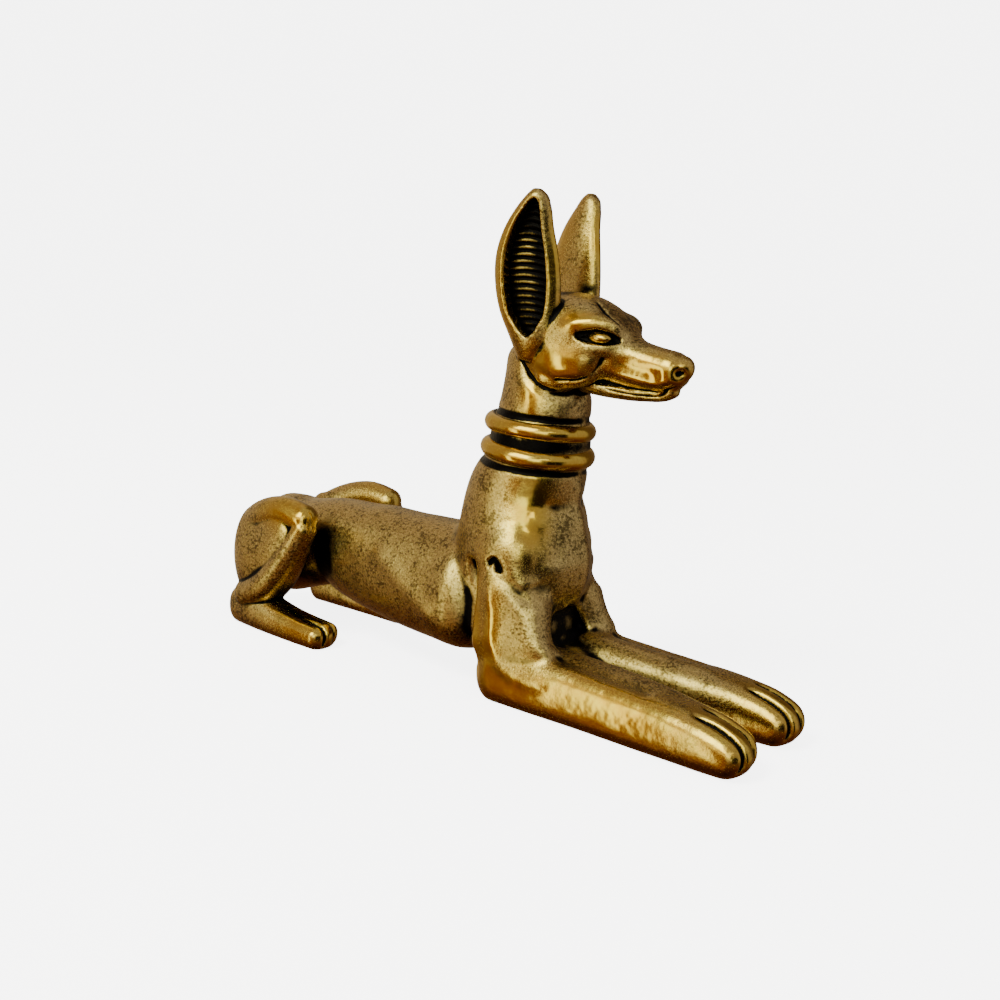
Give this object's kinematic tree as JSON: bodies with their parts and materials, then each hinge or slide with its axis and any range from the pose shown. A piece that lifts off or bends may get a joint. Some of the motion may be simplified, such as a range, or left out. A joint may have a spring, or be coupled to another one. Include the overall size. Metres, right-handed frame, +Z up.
{
  "type": "recumbent anubis jackal figurine",
  "caption": "Small cast brass figure of a lying jackal with tall ears and a ringed collar, antiqued, resting on its forelegs and hind feet.",
  "frame": {"origin": "on the ground, at the middle of the figure's length and width", "axes": "+X along the body towards the forepaws, +Y towards the animal's left, +Z up"},
  "size_m": [0.0709, 0.0198, 0.052],
  "materials": {
    "antiqued_brass": "cast, antiqued: polished high places, near-black in the hollows"
  },
  "bodies": {
    "root": {"jackal_figure": "antiqued_brass"}
  },
  "joints": []
}
